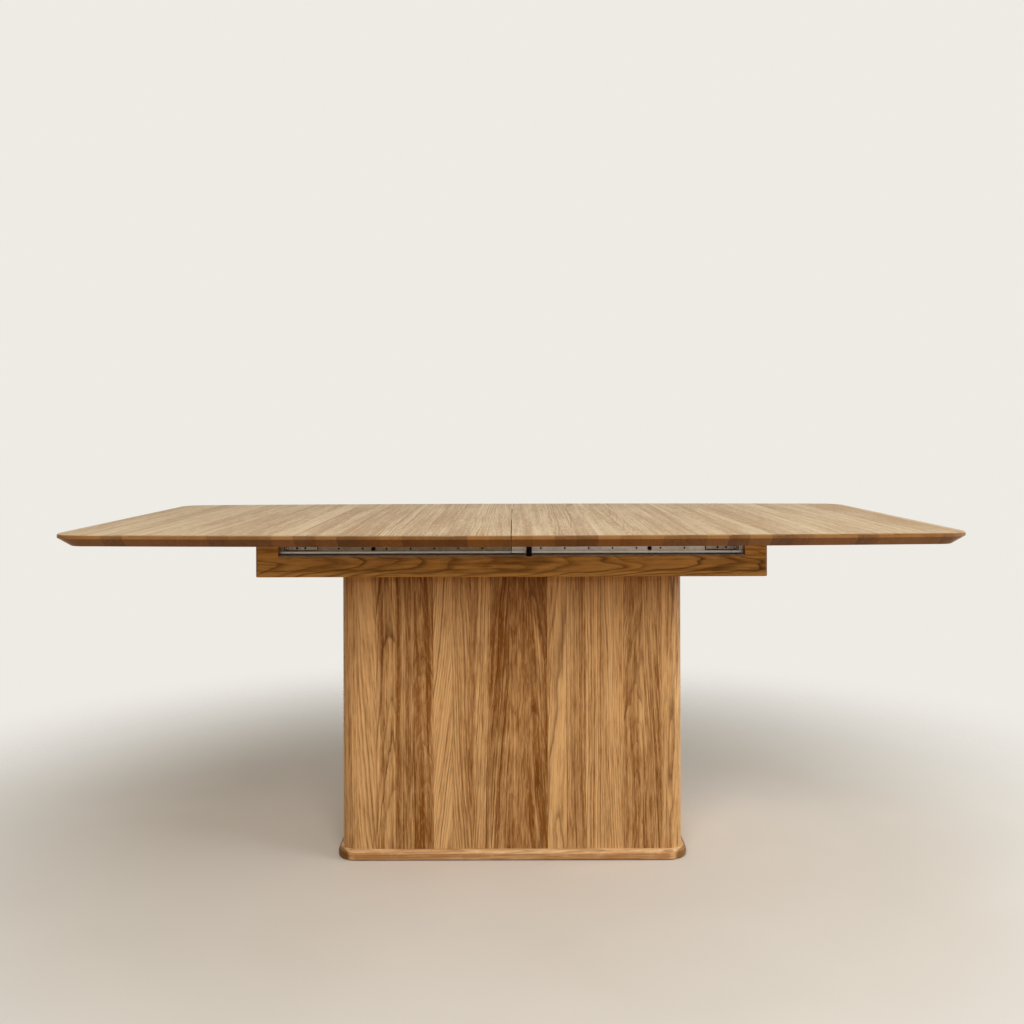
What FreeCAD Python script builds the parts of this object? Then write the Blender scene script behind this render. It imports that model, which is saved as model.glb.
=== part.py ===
import FreeCAD, Part
import os
import Sketcher

# Extending dining table of solid oak: two half tops slide apart on ball runners over a pedestal.
# Millimetres. X runs along the table, the viewer stands at -Y, Z is up, the origin is on the floor.

SIZES = {
    # half tops
    "top_length": 1800, "top_width": 1000, "table_height": 740, "top_thick": 24, "top_corner": 60,
    "top_bow": 36, "nose_height": 7.5, "bevel_run": 26, "top_arris": 2.5, "seam_arris": 0.8, "seam_gap": 1.5,
    "dowel_dia": 10, "dowel_long": 50, "dowel_inset": 120, "dowel_chamfer": 1.5, "socket_clear": 0.8,
    "socket_spare": 2, "bar_width": 40, "bar_thick": 6, "bar_start": 60, "bar_end": 80, "bar_inset": 130,
    "bar_clear": 0.3, "bar_screw_edge": 40, "bar_screw_spaces": 4,
    # frame
    "frame_length": 1100, "frame_width": 460, "rail_height": 88, "rail_thick": 24, "top_clear": 1,
    "notch_length": 1004, "notch_depth": 44, "rail_round": 5, "rail_low_round": 2.5, "ledge_round": 1,
    "slot_clear": 3, "bearer_thick": 25, "bearer_drop": 6, "spacer_height": 41,
    "cross_width": 50, "cross_height": 60, "cross_inset": 75, "block_leg": 55, "block_height": 60,
    # pedestal and plinth
    "pedestal_length": 750, "pedestal_width": 350, "panel_thick": 24, "post_side": 37, "post_round": 33,
    "tongue_thick": 8, "tongue_deep": 8, "glue_gap": 0.2, "head_thick": 25, "floor_thick": 18, "nip_clear": 1,
    "plinth_over": 11, "plinth_thick": 21.5, "plinth_corner": 44, "plinth_top_round": 10,
    "plinth_low_round": 2.5, "glide_dia": 40, "glide_stand": 1.5, "glide_pin_dia": 6, "glide_pin_long": 12,
    "glide_inset": 46, "glide_arris": 0.5,
    # ball runners
    "runner_length": 509, "runner_height": 40.5, "runner_set_back": 3, "sheet_thick": 2,
    "hem_height": 3.9, "hem_proud": 2, "strip_thick": 3, "strip_clear": 0.3, "strip_set_back": 0.4,
    "flange_width": 27, "flange_edge": 1.5, "ball_dia": 5.4, "race_clear": 0.3, "channel_length": 1040,
    "channel_sheet": 1.8, "slide_width": 17.5, "bend_round": 2.6, "travel": 250, "cage_start": 130,
    "cage_length": 260, "cage_thick": 1, "cage_width": 7.5, "ball_pitch": 80, "pocket_clear": 0.15,
    "web_hole_dia": 4.5, "web_hole_first": 63.6, "web_hole_pitch": 52, "web_hole_count": 7,
    "web_hole_rise": 10.5, "access_dia": 10, "access_at": 300, "access_rise": 9.5,
    "window_start": 420, "window_length": 74, "window_low": 5.2, "window_height": 20, "window_round": 2.5,
    "slit_at": 477, "slit_wide": 0.8, "slit_over": 2, "tab_reach": 9, "tab_height": 12, "stop_clear": 0.3,
    "plate_length": 88, "plate_height": 19, "plate_thick": 1.5, "peg_dia": 4, "peg_edge": 4,
    "peg_proud": 0.6, "plate_hole_dia": 5, "eye_near": 9, "eye_far": 9, "eye_drop": 8.5, "pad_inset": 2.2,
    "rivet_at": 29.5, "rivet_drop": 8.75, "rivet_dia": 5, "rivet_ring": 8, "rivet_deep": 1.2,
    "rivet_proud": 0.4, "slot_top": 3,
    # centre stops
    "stop_near": 32, "stop_wide": 11.6, "stop_deep": 19, "stop_height": 41, "stop_round": 1.5,
    "stop_inset": 0.5, "stop_pin_dia": 8, "stop_pin_long": 15, "lug_reach": 10, "lug_height": 9,
    # screws and bolts
    "screw_dia": 4, "screw_head_dia": 7, "screw_head_high": 2.2, "screw_head_edge": 1.4, "screw_dome": 1,
    "screw_long": 16, "screw_tip": 3, "screw_clear": 0.4, "screw_sunk": 0.1, "runner_screw_first": 60,
    "runner_screw_pitch": 130, "channel_screw_pitch": 190, "travel_stop_dia": 6, "travel_stop_high": 8,
    "travel_stop_arris": 0.6, "plinth_screw_dia": 5, "plinth_screw_head": 10, "plinth_screw_long": 35,
    "plinth_screw_tip": 4, "plinth_screw_end": 135, "plinth_screw_inset": 75, "bolt_dia": 8,
    "bolt_head_dia": 13, "bolt_head_high": 8, "bolt_head_arris": 1, "bolt_long": 80, "bolt_clear": 0.5,
    "bolt_inset": 85, "key_dia": 6.8, "key_deep": 4, "washer_dia": 22, "washer_thick": 1.6,
    "washer_clear": 0.4, "insert_dia": 12, "insert_long": 20,
}

# Levels and offsets worked out from the sizes. Distances in Y are taken from the table's middle.
PLACES = {
    "under_top": "Sizes.table_height - Sizes.top_thick",
    "frame_top": "Sizes.table_height - Sizes.top_thick - Sizes.top_clear",
    "frame_low": "Sizes.table_height - Sizes.top_thick - Sizes.top_clear - Sizes.rail_height",
    "ledge": "Sizes.table_height - Sizes.top_thick - Sizes.top_clear - Sizes.notch_depth",
    "plinth_top": "Sizes.glide_stand + Sizes.plinth_thick",
    "seam": "Sizes.seam_gap / 2",
    "bow_radius": "(Sizes.top_length^2 / 4 + Sizes.top_bow^2) / (2 * Sizes.top_bow)",
    "bow_y": "Sizes.top_width / 2 - (Sizes.top_length^2 / 4 + Sizes.top_bow^2) / (2 * Sizes.top_bow)",
    "dowel_z": "Sizes.table_height - Sizes.top_thick / 2",
    "rail_in": "Sizes.frame_width / 2 - Sizes.rail_thick",
    "end_in": "Sizes.frame_length / 2 - Sizes.rail_thick",
    "runner_out": "Sizes.frame_width / 2 - Sizes.rail_thick - Sizes.runner_set_back",
    "race_in": "Sizes.ball_dia / 2 + Sizes.race_clear",
    "race_out": "Sizes.ball_dia / 2 + Sizes.race_clear + Sizes.sheet_thick",
    "race_y": "Sizes.frame_width / 2 - Sizes.rail_thick - Sizes.runner_set_back - Sizes.sheet_thick"
              " - Sizes.race_clear - Sizes.ball_dia / 2",
    "race_high": "Sizes.table_height - Sizes.top_thick - Sizes.sheet_thick - Sizes.race_clear"
                 " - Sizes.ball_dia / 2",
    "race_low": "Sizes.table_height - Sizes.top_thick - Sizes.runner_height + Sizes.sheet_thick"
                " + Sizes.race_clear + Sizes.ball_dia / 2",
    "slide_mid": "Sizes.table_height - Sizes.top_thick - Sizes.runner_height / 2",
    "channel_back": "Sizes.frame_width / 2 - Sizes.rail_thick - Sizes.runner_set_back - Sizes.slide_width",
    "slot_in": "Sizes.frame_width / 2 - Sizes.rail_thick - Sizes.runner_set_back - Sizes.flange_width"
               " - Sizes.slot_clear",
    "pin_x": "Sizes.seam_gap / 2 + Sizes.sheet_thick + Sizes.travel + Sizes.stop_clear"
             " + Sizes.travel_stop_dia / 2",
    "lug_x": "Sizes.stop_near + Sizes.stop_wide + Sizes.stop_clear",
    "flange_mid": "Sizes.frame_width / 2 - Sizes.rail_thick - Sizes.runner_set_back"
                  " - Sizes.flange_width + Sizes.screw_head_dia / 2 + Sizes.flange_edge",
    "dowel_y": "Sizes.top_width / 2 - Sizes.dowel_inset",
    "bar_y": "Sizes.top_width / 2 - Sizes.bar_inset",
    "bar_far": "Sizes.top_length / 2 - Sizes.bar_end",
    "bar_screw_pitch": "(Sizes.top_length / 2 - Sizes.bar_end - Sizes.bar_start - 2 * Sizes.bar_screw_edge)"
                       " / Sizes.bar_screw_spaces",
    "cross_x": "Sizes.pedestal_length / 2 - Sizes.cross_inset",
    "bolt_y": "Sizes.pedestal_width / 2 - Sizes.bolt_inset",
    "plinth_screw_x": "(Sizes.pedestal_length / 2 - Sizes.plinth_screw_end) / 2",
    "plinth_screw_y": "Sizes.pedestal_width / 2 - Sizes.plinth_screw_inset",
    "glide_x": "Sizes.pedestal_length / 2 + Sizes.plinth_over - Sizes.glide_inset",
    "glide_y": "Sizes.pedestal_width / 2 + Sizes.plinth_over - Sizes.glide_inset",
    "post_x": "Sizes.pedestal_length / 2 - Sizes.post_side",
    "post_y": "Sizes.pedestal_width / 2 - Sizes.post_side",
    "board_x": "Sizes.pedestal_length / 2 - Sizes.panel_thick",
    "board_y": "Sizes.pedestal_width / 2 - Sizes.panel_thick",
    "board_nip": "2 * (Sizes.post_side - Sizes.panel_thick) + Sizes.nip_clear",
    "bolt_seat": "Sizes.table_height - Sizes.top_thick - Sizes.top_clear - Sizes.rail_height"
                 " + Sizes.cross_height + Sizes.washer_thick",
}

doc = FreeCAD.newDocument("extending_table")
nodes = []


def fill_sheet(name, entries):
    """Write a sheet of named cells, one to a row."""
    sheet = doc.addObject("Spreadsheet::Sheet", name)
    for row, (alias, entry) in enumerate(entries.items(), 1):
        sheet.set(f"A{row}", alias)
        sheet.set(f"B{row}", entry)
        sheet.setAlias(f"B{row}", alias)
    doc.recompute()


fill_sheet("Sizes", {alias: str(number) for alias, number in SIZES.items()})
fill_sheet("Places", {alias: f"={text}" for alias, text in PLACES.items()})


def node(piece, name):
    """Take a finished piece into the list that is written out."""
    piece.Label = name
    nodes.append(piece)
    return piece


def new_body(name):
    return doc.addObject("PartDesign::Body", name)


def new_sketch(body, name, role, offset="0"):
    """An empty sketch on one of the body's own origin planes, moved along its normal."""
    sketch = body.newObject("Sketcher::SketchObject", name)
    plane = [feature for feature in body.Origin.OriginFeatures if feature.Role == role][0]
    sketch.AttachmentSupport = [(plane, "")]
    sketch.MapMode = "FlatFace"
    sketch.setExpression("AttachmentOffset.Base.z", offset)
    return sketch


def hold(sketch, kind, text, *ends):
    """Add one driving constraint that reads the sheets."""
    number = float(sketch.evalExpression(text))
    index = sketch.addConstraint(Sketcher.Constraint(kind, *ends, number))
    sketch.setExpression(f"Constraints[{index}]", text)


def outline(body, name, role, corners, offset="0"):
    """A closed outline. A corner is (x, y), or (x, y, (cx, cy)) where an arc about c leads to the next."""
    sketch = new_sketch(body, name, role, offset)
    spots = [FreeCAD.Vector(*(float(sketch.evalExpression(text)) for text in c[:2]), 0) for c in corners]
    starts = []
    for index, corner in enumerate(corners):
        here = spots[index]
        there = spots[(index + 1) % len(spots)]
        if len(corner) == 2:
            starts.append((sketch.addGeometry(Part.LineSegment(here, there)), 1, 2))
            continue
        centre = FreeCAD.Vector(*(float(sketch.evalExpression(text)) for text in corner[2]), 0)
        left_turn = (here - centre).cross(there - centre).z > 0
        first, last = (here, there) if left_turn else (there, here)
        circle = Part.Circle(centre, FreeCAD.Vector(0, 0, 1), (here - centre).Length)
        arc = Part.ArcOfCircle(circle, circle.parameter(first), circle.parameter(last))
        starts.append((sketch.addGeometry(arc), 1, 2) if left_turn else (sketch.addGeometry(arc), 2, 1))
    for index, (edge, start, end) in enumerate(starts):
        after, after_start, _ = starts[(index + 1) % len(starts)]
        sketch.addConstraint(Sketcher.Constraint("Coincident", edge, end, after, after_start))
    for corner, (edge, start, end) in zip(corners, starts):
        hold(sketch, "DistanceX", corner[0], -1, 1, edge, start)
        hold(sketch, "DistanceY", corner[1], -1, 1, edge, start)
        if len(corner) == 3:
            (x, y), (cx, cy) = corner[:2], corner[2]
            hold(sketch, "Radius", f"sqrt(({x} - ({cx}))^2 + ({y} - ({cy}))^2)", edge)
    return sketch


def box_corners(x0, x1, y0, y1):
    return [(x0, y0), (x1, y0), (x1, y1), (x0, y1)]


def rings(body, name, role, diameter, centres, offset="0"):
    """A sketch of equal circles."""
    sketch = new_sketch(body, name, role, offset)
    for x, y in centres:
        spot = FreeCAD.Vector(float(sketch.evalExpression(x)), float(sketch.evalExpression(y)), 0)
        width = float(sketch.evalExpression(diameter))
        ring = sketch.addGeometry(Part.Circle(spot, FreeCAD.Vector(0, 0, 1), width / 2))
        hold(sketch, "DistanceX", x, -1, 1, ring, 3)
        hold(sketch, "DistanceY", y, -1, 1, ring, 3)
        hold(sketch, "Diameter", diameter, ring)
    return sketch


def pad(body, name, sketch, length):
    feature = body.newObject("PartDesign::Pad", name)
    feature.Profile = sketch
    feature.setExpression("Length", length)
    doc.recompute()
    return feature


def pocket(body, name, sketch, depth="", into_normal=False):
    """A cut to a depth against the sketch's normal or along it, or right through both ways."""
    before = body.Shape.Volume
    feature = body.newObject("PartDesign::Pocket", name)
    feature.Profile = sketch
    feature.Reversed = into_normal
    if depth:
        feature.setExpression("Length", depth)
    else:
        feature.Type = "ThroughAll"
        feature.SideType = "Symmetric"
    doc.recompute()
    if not body.Shape.Volume < before:
        raise RuntimeError(f"{name} cuts nothing")
    return feature


def row(body, name, feature, sketch, pitch, count, reverse=False):
    """Repeat a feature along the sketch's own level axis."""
    pattern = body.newObject("PartDesign::LinearPattern", name)
    pattern.Originals = [feature]
    pattern.Direction = (sketch, ["H_Axis"])
    pattern.Reversed = reverse
    pattern.setExpression("Length", f"({pitch}) * (({count}) - 1)")
    pattern.setExpression("Occurrences", count)
    body.Tip = pattern
    doc.recompute()
    return pattern


def edges(feature, test):
    return [f"Edge{number}" for number, edge in enumerate(feature.Shape.Edges, 1) if test(edge)]


def soften(body, name, base, radius, test):
    """Round the edges that pass the test."""
    feature = body.newObject("PartDesign::Fillet", name)
    feature.Base = (base, edges(base, test))
    feature.setExpression("Radius", radius)
    doc.recompute()
    return feature


def upright(edge):
    return edge.BoundBox.ZLength > 1 and edge.BoundBox.XLength < 0.01 and edge.BoundBox.YLength < 0.01


def at_level(edge, level):
    return edge.BoundBox.ZLength < 0.01 and abs(edge.CenterOfMass.z - level) < 0.01


def read(text):
    return float(doc.Places.evalExpression(text))


def board(name, x, y, z):
    """A plain sawn piece between three pairs of planes."""
    piece = doc.addObject("Part::Box", name)
    for side, axis, (low, high) in zip(("Length", "Width", "Height"), "xyz", (x, y, z)):
        piece.setExpression(side, f"({high}) - ({low})")
        piece.setExpression(f"Placement.Base.{axis}", low)
    return piece


def turned(name, half_section):
    """A turned master piece about Z, from the right half of its section. It stands at the origin."""
    body = new_body(name)
    sketch = outline(body, f"{name}_section", "XZ_Plane", half_section)
    feature = body.newObject("PartDesign::Revolution", f"{name}_turned")
    feature.Profile = sketch
    feature.ReferenceAxis = (sketch, ["V_Axis"])
    feature.Angle = 360
    doc.recompute()
    return body


def group(name, master, spots):
    """One node of like solids: a link at each spot (x, y, z, turn) to the one master, or to its own."""
    masters = master if isinstance(master, tuple) else (master,) * len(spots)
    links = []
    for number, (own, (x, y, z, turn)) in enumerate(zip(masters, spots), 1):
        link = doc.addObject("App::Link", f"{name}_{number}")
        link.LinkedObject = own
        link.Placement = FreeCAD.Placement(FreeCAD.Vector(), turn)
        for axis, text in zip("xyz", (x, y, z)):
            link.setExpression(f"Placement.Base.{axis}", text)
        links.append(link)
    bundle = doc.addObject("Part::Compound", name)
    bundle.Links = links
    doc.recompute()
    return node(bundle, name)


X_AXIS = FreeCAD.Vector(1, 0, 0)
Z_AXIS = FreeCAD.Vector(0, 0, 1)
AS_MADE = FreeCAD.Rotation()
HALF_TURN = FreeCAD.Rotation(Z_AXIS, 180)
HEAD_TO_FRONT = FreeCAD.Rotation(X_AXIS, -90)
HEAD_TO_BACK = FreeCAD.Rotation(X_AXIS, 90)
HALVES = {"left": "-1", "right": "1"}
SIDES = {"front": "-1", "back": "1"}


def screw_spots(sign):
    """Where one half's runners are screwed to its top."""
    return [(f"{sign} * (Sizes.runner_screw_first + {n} * Sizes.runner_screw_pitch)",
             f"{side} * Places.flange_mid") for side in SIDES.values() for n in range(4)]


def bar_screw_spots(sign):
    """Where one half's stiffening bars are screwed to its top."""
    count = int(SIZES["bar_screw_spaces"]) + 1
    return [(f"{sign} * (Sizes.bar_start + Sizes.bar_screw_edge + {n} * Places.bar_screw_pitch)",
             f"{side} * Places.bar_y") for side in SIDES.values() for n in range(count)]


def dowel_spots():
    return [(f"{n} * Places.dowel_y", "Places.dowel_z") for n in (-1, 0, 1)]


def half_top(half):
    """One half top: bowed long edges, rounded corners, a nose, a wide bevel, bores, grooves and pilots."""
    name = f"top_{half}"
    sign = HALVES[half]
    body = new_body(name)
    end, edge = f"{sign} * Sizes.top_length / 2", "(Sizes.top_width / 2 - Sizes.top_bow)"
    joint = f"{sign} * Places.seam"
    middle_edge = "(Places.bow_y + sqrt(Places.bow_radius^2 - Places.seam^2))"
    plan = outline(body, f"{name}_plan", "XY_Plane",
                   [(end, f"-{edge}"), (end, edge, ("0", "Places.bow_y")), (joint, middle_edge),
                    (joint, f"-{middle_edge}", ("0", "-Places.bow_y"))], "Places.under_top")
    slab = pad(body, f"{name}_slab", plan, "Sizes.top_thick")
    seam = float(sign) * read("seam")
    middle = slab.Shape.BoundBox.Center.x

    def off_seam(edge):
        return abs(edge.CenterOfMass.x - seam) > 1

    corners = soften(body, f"{name}_corners", slab, "Sizes.top_corner",
                     lambda e: upright(e) and abs(e.CenterOfMass.x) > abs(middle))
    bevel = body.newObject("PartDesign::Chamfer", f"{name}_bevel")
    low = read("under_top")
    bevel.Base = (corners, edges(corners, lambda e: at_level(e, low) and off_seam(e)))
    bevel.ChamferType = "Two distances"
    bevel.setExpression("Size", "Sizes.top_thick - Sizes.nose_height")
    bevel.setExpression("Size2", "Sizes.bevel_run")
    doc.recompute()
    level = read("Sizes.table_height")
    eased = soften(body, f"{name}_seam_arris", bevel, "Sizes.seam_arris",
                   lambda e: at_level(e, level) and not off_seam(e))
    soften(body, f"{name}_arris", eased, "Sizes.top_arris", lambda e: at_level(e, level) and off_seam(e))
    bore = "Sizes.dowel_dia" if half == "left" else "Sizes.dowel_dia + Sizes.socket_clear"
    bores = rings(body, f"{name}_bore_rings", "YZ_Plane", bore, dowel_spots(), f"{sign} * Places.seam")
    deep = "Sizes.dowel_long / 2" if half == "left" else "Sizes.dowel_long / 2 + Sizes.socket_spare"
    pocket(body, f"{name}_bores", bores, deep, half == "right")
    for side, across in SIDES.items():
        groove = outline(body, f"{name}_{side}_groove_plan", "XY_Plane",
                         box_corners(f"{sign} * (Sizes.bar_start - Sizes.bar_clear)",
                                     f"{sign} * (Places.bar_far + Sizes.bar_clear)",
                                     f"{across} * Places.bar_y - Sizes.bar_width / 2 - Sizes.bar_clear",
                                     f"{across} * Places.bar_y + Sizes.bar_width / 2 + Sizes.bar_clear"),
                         "Places.under_top")
        pocket(body, f"{name}_{side}_groove", groove, "Sizes.bar_thick", True)
    pilots = rings(body, f"{name}_pilot_rings", "XY_Plane", "Sizes.screw_dia",
                   screw_spots(sign) + bar_screw_spots(sign), "Places.under_top")
    pocket(body, f"{name}_pilots", pilots, "Sizes.screw_long", True)
    node(body, name)


def seam_dowels():
    """Three dowels fixed in the left half, which slide into clear sockets in the right half."""
    skin, tip = "Sizes.dowel_dia / 2", "Sizes.dowel_dia / 2 - Sizes.dowel_chamfer"
    pin = turned("dowel", [("0", "0"), (tip, "0"), (skin, "Sizes.dowel_chamfer"),
                           (skin, "Sizes.dowel_long - Sizes.dowel_chamfer"), (tip, "Sizes.dowel_long"),
                           ("0", "Sizes.dowel_long")])
    along = FreeCAD.Rotation(FreeCAD.Vector(0, 1, 0), 90)
    start = "-Places.seam - Sizes.dowel_long / 2"
    group("seam_dowels", pin, [(start, y, z, along) for y, z in dowel_spots()])


def stiffening_bars(half):
    """Two steel flats let in flush under a half top, with countersunk screws."""
    name = f"stiffener_{half}"
    sign = HALVES[half]
    for side, across in SIDES.items():
        body = new_body(f"{name}_{side}")
        plan = outline(body, f"{name}_{side}_plan", "XY_Plane",
                       box_corners(f"{sign} * Sizes.bar_start",
                                   f"{sign} * Places.bar_far",
                                   f"{across} * Places.bar_y - Sizes.bar_width / 2",
                                   f"{across} * Places.bar_y + Sizes.bar_width / 2"), "Places.under_top")
        pad(body, f"{name}_{side}_flat", plan, "Sizes.bar_thick")
        spots = [spot for spot in bar_screw_spots(sign) if spot[1].startswith(f"{across} *")]
        ring = rings(body, f"{name}_{side}_rings", "XY_Plane", "Sizes.screw_dia", spots, "Places.under_top")
        hole = body.newObject("PartDesign::Hole", f"{name}_{side}_holes")
        hole.Profile = ring
        hole.ThreadType = "None"
        hole.setExpression("Diameter", "Sizes.screw_dia + Sizes.screw_clear")
        hole.DepthType = "ThroughAll"
        hole.Reversed = True
        hole.HoleCutType = "Countersink"
        hole.HoleCutCustomValues = True
        hole.setExpression("HoleCutDiameter", "2 * Sizes.screw_dia + Sizes.screw_clear")
        hole.HoleCutCountersinkAngle = 90
        doc.recompute()
        node(body, f"{name}_{side}")
    group(f"stiffener_screws_{half}", doc.bar_screw,
          [(x, y, "Places.under_top", AS_MADE) for x, y in bar_screw_spots(sign)])


def runner(half, side):
    """A rolled steel runner: web, hemmed lower ball track and a flange screwed up to the half top."""
    name = f"runner_{side}_{half}"
    sign = HALVES[half]
    across = SIDES[side]
    body = new_body(name)
    out, race = f"{across} * Places.runner_out", f"{across} * Places.race_y"
    web_in = f"{across} * (Places.runner_out - Sizes.sheet_thick)"
    flange = f"{across} * (Places.runner_out - Sizes.flange_width)"
    lip = [(f"{across} * (Places.race_y - {r} * cos(45deg))", f"Places.race_low - {r} * sin(45deg)")
           for r in ("Places.race_out", "Places.race_in")]
    high, low = (race, "Places.race_high"), (race, "Places.race_low")
    bottom = "Places.under_top - Sizes.runner_height"
    hem = f"{across} * (Places.runner_out + Sizes.hem_proud)"
    section = [(race, "Places.under_top", high), (out, "Places.race_high"),
               (out, f"{bottom} + Sizes.hem_height"), (hem, f"{bottom} + Sizes.hem_height"), (hem, bottom),
               (race, bottom, low), lip[0], (*lip[1], low), (web_in, "Places.race_low"),
               (web_in, "Places.race_high", high),
               (race, "Places.under_top - Sizes.sheet_thick"),
               (flange, "Places.under_top - Sizes.sheet_thick"), (flange, "Places.under_top")]
    start = "Places.seam" if half == "right" else "-Sizes.runner_length"
    profile = outline(body, f"{name}_section", "YZ_Plane", section, start)
    pad(body, f"{name}_strip", profile, "Sizes.runner_length - Places.seam")
    holes = rings(body, f"{name}_hole_ring", "XZ_Plane", "Sizes.web_hole_dia",
                  [(f"{sign} * Sizes.web_hole_first", f"{bottom} + Sizes.web_hole_rise")])
    first = pocket(body, f"{name}_hole", holes)
    row(body, f"{name}_holes", first, holes, "Sizes.web_hole_pitch", "Sizes.web_hole_count", half == "left")
    access = rings(body, f"{name}_access_ring", "XZ_Plane", "Sizes.access_dia",
                   [(f"{sign} * Sizes.access_at", f"{bottom} + Sizes.access_rise")])
    pocket(body, f"{name}_access", access)
    near, far = f"{sign} * Sizes.window_start", f"{sign} * (Sizes.window_start + Sizes.window_length)"
    window = outline(body, f"{name}_window_plan", "XZ_Plane",
                     box_corners(near, far, f"{bottom} + Sizes.window_low",
                                 f"{bottom} + Sizes.window_low + Sizes.window_height"))
    opening = pocket(body, f"{name}_window", window)
    limits = sorted((read(near), read(far)))
    softened = soften(body, f"{name}_window_corners", opening, "Sizes.window_round",
                      lambda e: e.BoundBox.ZLength < 0.01 and e.BoundBox.XLength < 0.01
                      and min(abs(e.CenterOfMass.x - x) for x in limits) < 0.01)
    pegs = rings(body, f"{name}_peg_rings", "XZ_Plane", "Sizes.peg_dia",
                 [(f"{sign} * (Sizes.window_start + Sizes.window_length / 2)"
                   f" + {end} * (Sizes.plate_length / 2 - Sizes.peg_edge)",
                   "Places.slide_mid") for end in ("-1", "1")])
    pocket(body, f"{name}_peg_holes", pegs)
    slit = outline(body, f"{name}_slit_plan", "XZ_Plane",
                   box_corners(f"{sign} * Sizes.slit_at - Sizes.slit_wide / 2",
                               f"{sign} * Sizes.slit_at + Sizes.slit_wide / 2",
                               f"{bottom} - Sizes.slit_over", f"{bottom} + Sizes.window_low + Sizes.slit_over"))
    pocket(body, f"{name}_slit", slit)
    screws = rings(body, f"{name}_screw_rings", "XY_Plane", "Sizes.screw_dia",
                   [spot for spot in screw_spots(sign) if spot[1].startswith(f"{across} *")],
                   "Places.under_top")
    pocket(body, f"{name}_screw_holes", screws, "Sizes.sheet_thick")
    tab = outline(body, f"{name}_tab_plan", "YZ_Plane",
                  box_corners(web_in, f"{across} * (Places.runner_out - Sizes.sheet_thick - Sizes.tab_reach)",
                              "Places.slide_mid - Sizes.tab_height / 2",
                              "Places.slide_mid + Sizes.tab_height / 2"),
                  "Places.seam" if half == "right" else "-Places.seam - Sizes.sheet_thick")
    pad(body, f"{name}_tab", tab, "Sizes.sheet_thick")
    if (half, side) in (("right", "front"), ("left", "back")):
        lug = outline(body, f"{name}_lug_plan", "YZ_Plane",
                      box_corners(f"{across} * (Places.runner_out - Sizes.sheet_thick / 2)",
                                  f"{across} * (Places.runner_out + Sizes.lug_reach)",
                                  "Places.race_high - Sizes.lug_height", "Places.race_high"),
                      "Places.lug_x" if half == "right" else "-Places.lug_x - Sizes.sheet_thick")
        pad(body, f"{name}_lug", lug, "Sizes.sheet_thick")
    node(body, name)


def catch_plates(half):
    """A pegged plate behind each runner's window. The back one is the other hand's, turned half round."""
    sign = HALVES[half]
    middle = f"{sign} * (Sizes.window_start + Sizes.window_length / 2)"
    own, other = (doc.catch_plate_left, doc.catch_plate_right) if half == "left" else (
        doc.catch_plate_right, doc.catch_plate_left)
    group(f"catch_plates_{half}", (own, other),
          [(middle, f"{across} * (Places.runner_out - Sizes.sheet_thick)", "Places.slide_mid", turn)
           for across, turn in (("-1", AS_MADE), ("1", HALF_TURN))])


def plate_master(half):
    """One hand's catch plate at the origin: a sheet behind the web, and a pad that fills the window."""
    name = f"catch_plate_{half}"
    sign = HALVES[half]
    body = new_body(name)
    low, front = "(Sizes.window_low - Sizes.runner_height / 2)", "Sizes.sheet_thick"
    wide = "(Sizes.window_length / 2 - Sizes.pad_inset)"
    face = outline(body, f"{name}_face", "XZ_Plane",
                   box_corners("-Sizes.plate_length / 2", "Sizes.plate_length / 2",
                               "-Sizes.plate_height / 2", "Sizes.plate_height / 2"), "-Sizes.plate_thick")
    pad(body, f"{name}_sheet", face, "Sizes.plate_thick")
    raised = outline(body, f"{name}_pad_face", "XZ_Plane",
                     box_corners(f"-{wide}", wide, f"{low} + Sizes.pad_inset",
                                 f"{low} + Sizes.window_height - Sizes.pad_inset"))
    pad(body, f"{name}_pad", raised, front)
    eye = rings(body, f"{name}_eye_ring", "XZ_Plane", "Sizes.plate_hole_dia",
                [(f"-{sign} * Sizes.eye_near", "-Sizes.eye_drop"),
                 (f"{sign} * Sizes.eye_far", "-Sizes.eye_drop")])
    pocket(body, f"{name}_eyes", eye)
    pegs = rings(body, f"{name}_peg_rings", "XZ_Plane", "Sizes.peg_dia",
                 [(f"{end} * (Sizes.plate_length / 2 - Sizes.peg_edge)", "0") for end in ("-1", "1")])
    pad(body, f"{name}_pegs", pegs, "Sizes.sheet_thick + Sizes.peg_proud")
    slot = f"{sign} * (Sizes.slit_at - Sizes.window_start - Sizes.window_length / 2)"
    groove = outline(body, f"{name}_slot_plan", "XZ_Plane",
                     box_corners(f"{slot} - Sizes.slit_wide / 2", f"{slot} + Sizes.slit_wide / 2",
                                 low, "-Sizes.slot_top"), front)
    pocket(body, f"{name}_slot", groove, "Sizes.sheet_thick")
    spot = [(f"{sign} * Sizes.rivet_at", "-Sizes.rivet_drop")]
    dish = rings(body, f"{name}_dish_ring", "XZ_Plane", "Sizes.rivet_ring", spot, front)
    pocket(body, f"{name}_dish", dish, "Sizes.rivet_deep")
    rivet = rings(body, f"{name}_rivet_ring", "XZ_Plane", "Sizes.rivet_dia", spot,
                  f"{front} - Sizes.rivet_deep")
    pad(body, f"{name}_rivet", rivet, "Sizes.rivet_deep + Sizes.rivet_proud")


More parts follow.
